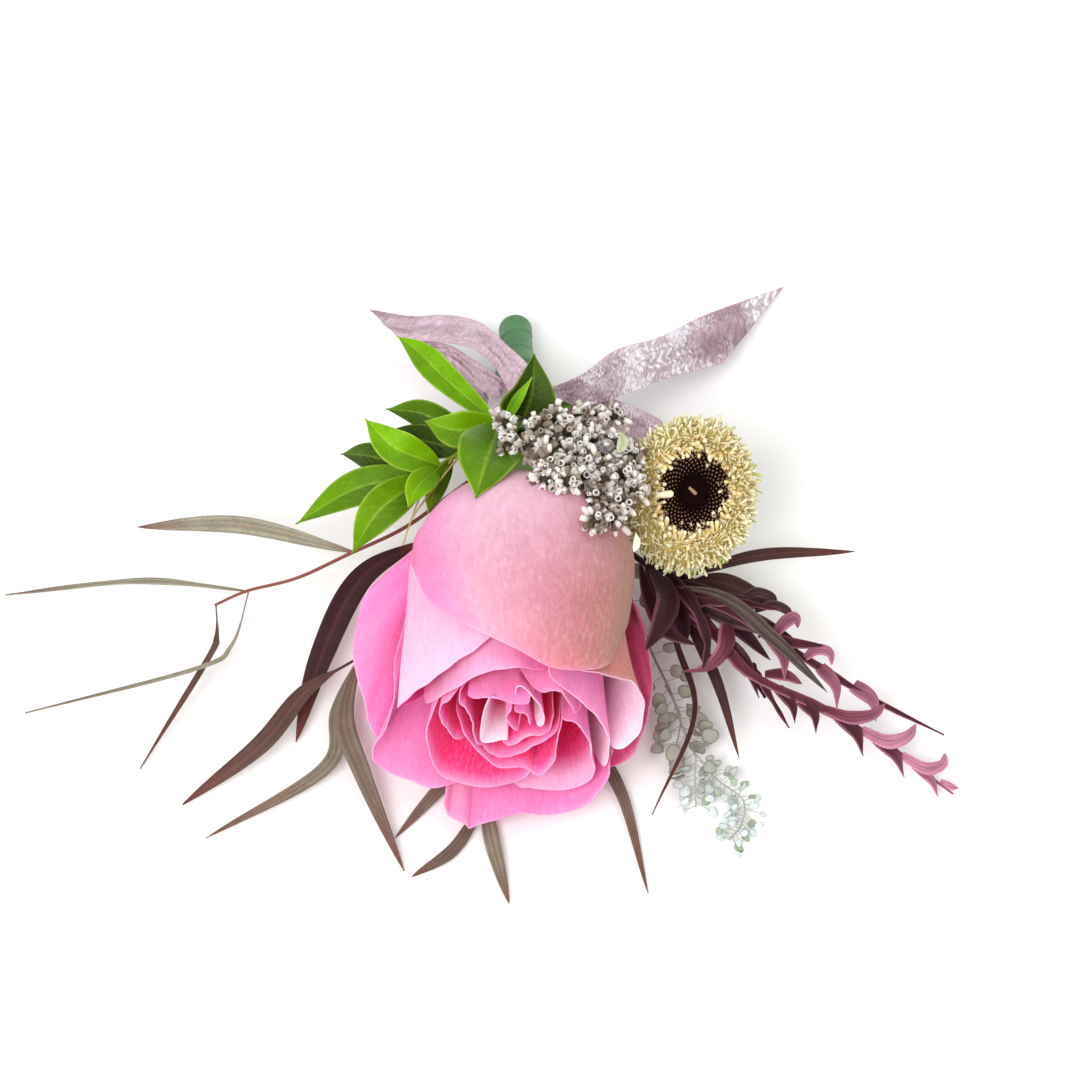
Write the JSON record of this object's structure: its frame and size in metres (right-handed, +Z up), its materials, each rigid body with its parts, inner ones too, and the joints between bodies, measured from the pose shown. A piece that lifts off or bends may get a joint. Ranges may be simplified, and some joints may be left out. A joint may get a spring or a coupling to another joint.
{
  "type": "boutonniere",
  "caption": "Lapel flower lying on its back: a half-open rose and a small gerbera with rice flower and mixed foliage, stems bound in floral tape and tied with an organza ribbon.",
  "frame": {"origin": "on the table, under the middle of the whole piece's box", "axes": "+Z up from the table; +Y from the flowers to the end of the taped stems; +X to the right, seen from the flowers' side"},
  "size_m": [0.186, 0.1392, 0.0476],
  "materials": {
    "floral_tape": "waxed crepe paper, slightly shiny",
    "rose_petal": "velvety petal",
    "hip_and_stalk": "smooth green stalk",
    "gerbera_ray": "fine cream rays",
    "gerbera_disc": "dark closed florets",
    "rice_bud": "papery white buds",
    "green_leaf": "smooth green leaf",
    "willow_leaf": "dark narrow leaf",
    "grevillea_leaf": "dark red cut leaf",
    "creeper_leaf": "small pale round leaf",
    "organza": "sheer mauve organza with a fine sparkle"
  },
  "bodies": {
    "root": {"tape_wrap": "floral_tape", "rose_petals": "rose_petal", "rose_hip_and_stem": "hip_and_stalk", "gerbera_rays": "gerbera_ray", "gerbera_disc": "gerbera_disc", "gerbera_stem": "hip_and_stalk", "rice_flower": "rice_bud", "green_sprig_middle": "green_leaf", "green_sprig_left": "green_leaf", "willow_sprig_far_left": "willow_leaf", "willow_sprig_near_left": "willow_leaf", "willow_sprig_under": "willow_leaf", "willow_sprig_right": "willow_leaf", "grevillea_sprig": "grevillea_leaf", "creeper_sprig": "creeper_leaf", "ribbon_knot": "organza", "ribbon_tail_right": "organza", "ribbon_tail_left": "organza", "ribbon_loop_left": "organza", "ribbon_loop_right": "organza"}
  },
  "joints": []
}
